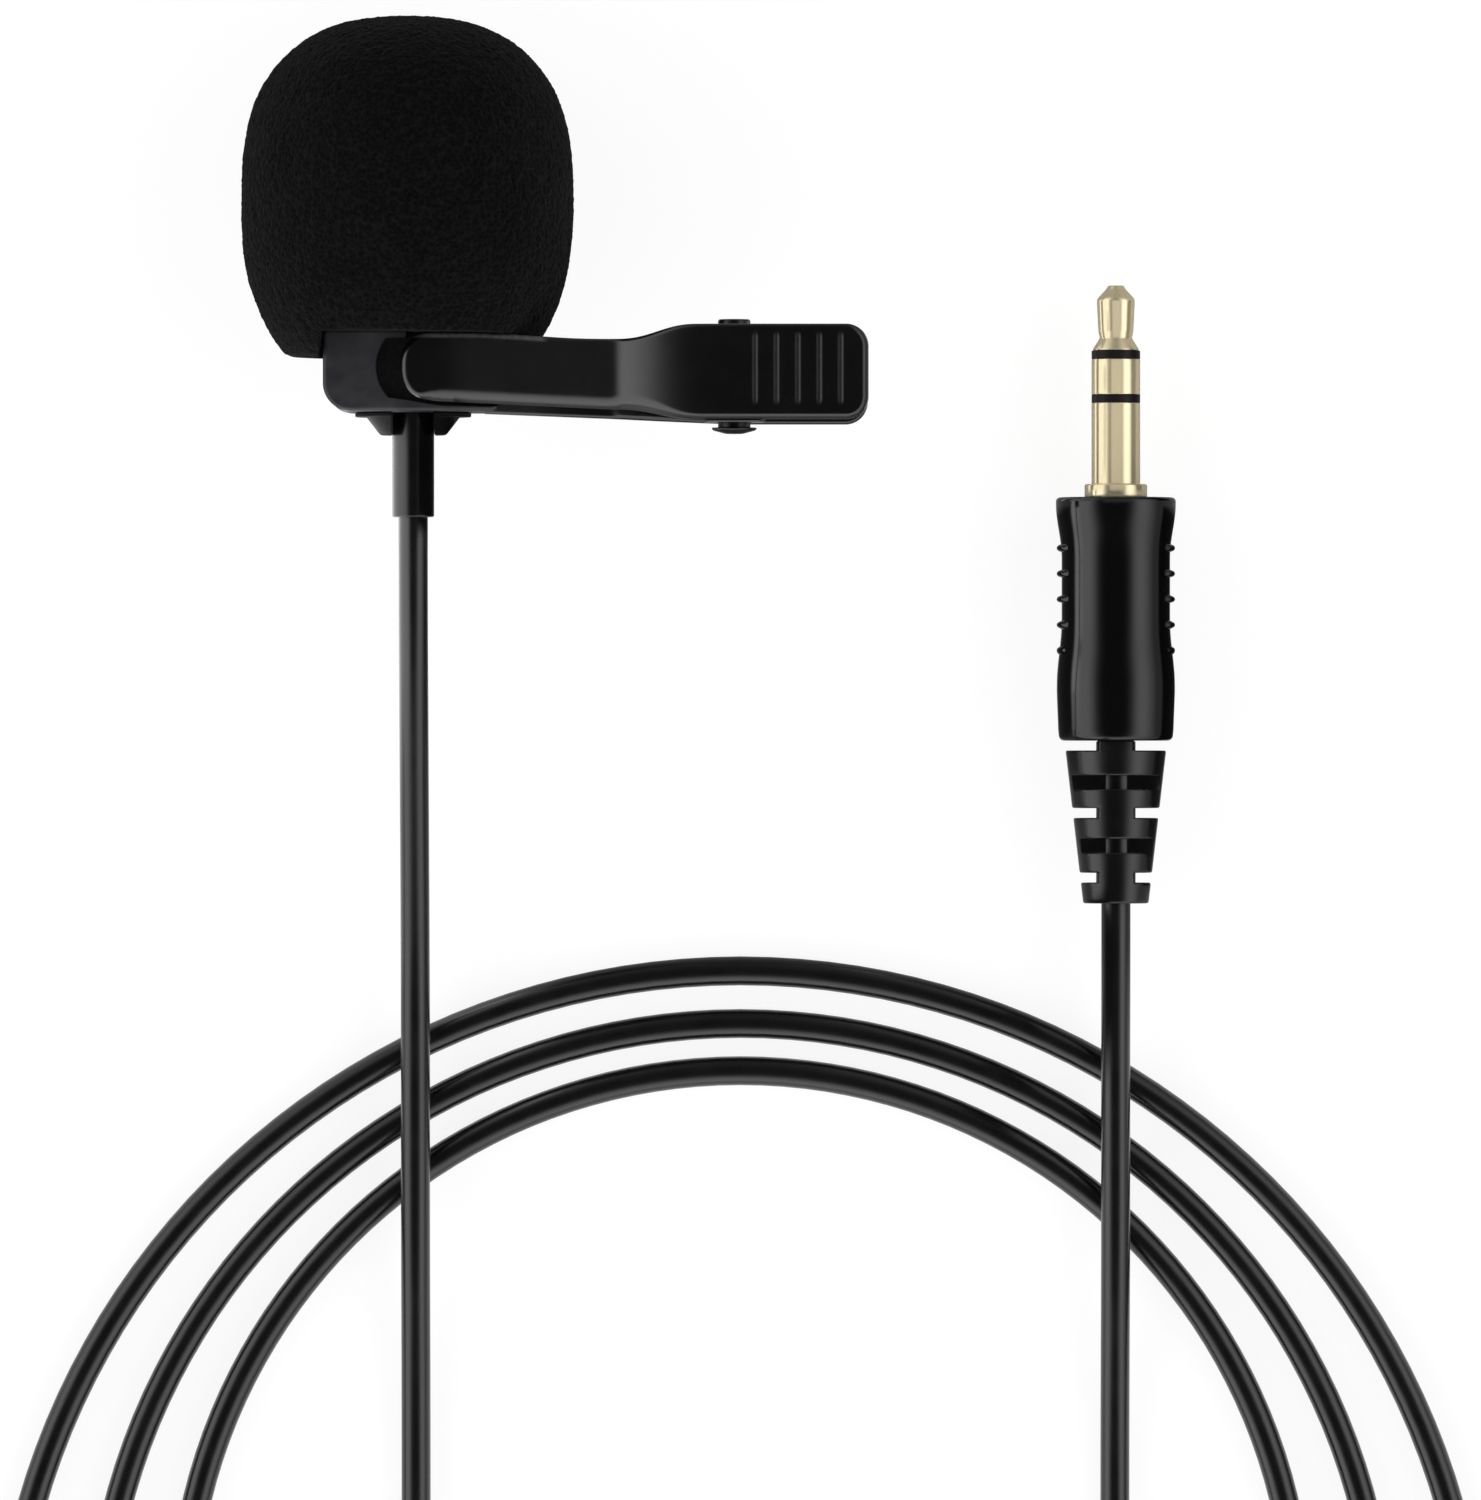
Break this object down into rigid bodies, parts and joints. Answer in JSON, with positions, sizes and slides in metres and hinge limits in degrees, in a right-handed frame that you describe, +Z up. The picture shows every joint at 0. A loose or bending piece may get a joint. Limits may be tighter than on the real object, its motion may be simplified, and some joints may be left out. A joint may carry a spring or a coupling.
{
  "type": "lavalier microphone",
  "caption": "Lapel microphone with a foam windscreen and a sprung clip, on a thin coiled cable that ends in a 3.5 mm three-pole plug.",
  "frame": {"origin": "on the surface that the part lies on, under the middle of the microphone and its clip", "axes": "+Z up from the surface, +Y along the microphone from its cable end to its foam end and along the plug towards its tip, +X along the clip towards its grip"},
  "size_m": [0.1088, 0.176, 0.0234],
  "materials": {
    "foam": "matt open-cell foam",
    "steel": "plain",
    "black_steel": "satin black",
    "felt": "fine black felt",
    "circuit_board": "green solder mask",
    "black_rubber": "matt",
    "wire": "thin insulation",
    "barrel": "satin black",
    "clip_plastic": "satin moulded plastic",
    "relief_rubber": "soft satin",
    "cable_jacket": "smooth matt jacket",
    "gold": "polished pale gold plating",
    "insulator": "gloss",
    "gloss_grip": "gloss black"
  },
  "bodies": {
    "microphone": {"grille_cap": "steel", "dust_screen": "felt", "capsule_can": "steel", "capsule_board": "circuit_board", "capsule_sleeve": "black_rubber", "mic_wires": "wire", "mic_barrel": "barrel", "tail_plug": "clip_plastic", "cable_crimp": "steel", "mic_strain_relief": "relief_rubber", "cable_mic_run": "cable_jacket", "cable_coil": "cable_jacket", "cable_plug_run": "cable_jacket", "plug_tip": "gold", "tip_insulator": "insulator", "plug_ring": "gold", "ring_insulator": "insulator", "plug_sleeve": "gold", "rear_insulator": "insulator", "plug_lugs": "steel", "plug_wires": "wire", "plug_crimp": "steel", "plug_grip": "gloss_grip", "plug_strain_relief": "relief_rubber"},
    "clip": {"holder_lever": "clip_plastic", "hinge_pin": "black_steel", "torsion_spring": "steel"},
    "lever": {"front_lever": "clip_plastic"},
    "windscreen": {"foam_windscreen": "foam"}
  },
  "joints": [
    {"name": "clip_swivel", "type": "hinge", "parent": "microphone", "child": "clip", "pos_m": [-0.01013, -0.00745, 0.0115], "axis": [0, 1, 0], "continuous": true},
    {"name": "clip_squeeze", "type": "hinge", "parent": "clip", "child": "lever", "pos_m": [0.01282, -0.00775, 0.0154], "axis": [0, 1, 0], "range_deg": [0, 25], "stiffness_Nm_per_rad": 0.02, "springref_deg": -34.38, "deforming": ["torsion_spring"]},
    {"name": "windscreen_pull", "type": "slide", "parent": "clip", "child": "windscreen", "axis": [0, 1, 0], "range_m": [0, 0.026]}
  ]
}
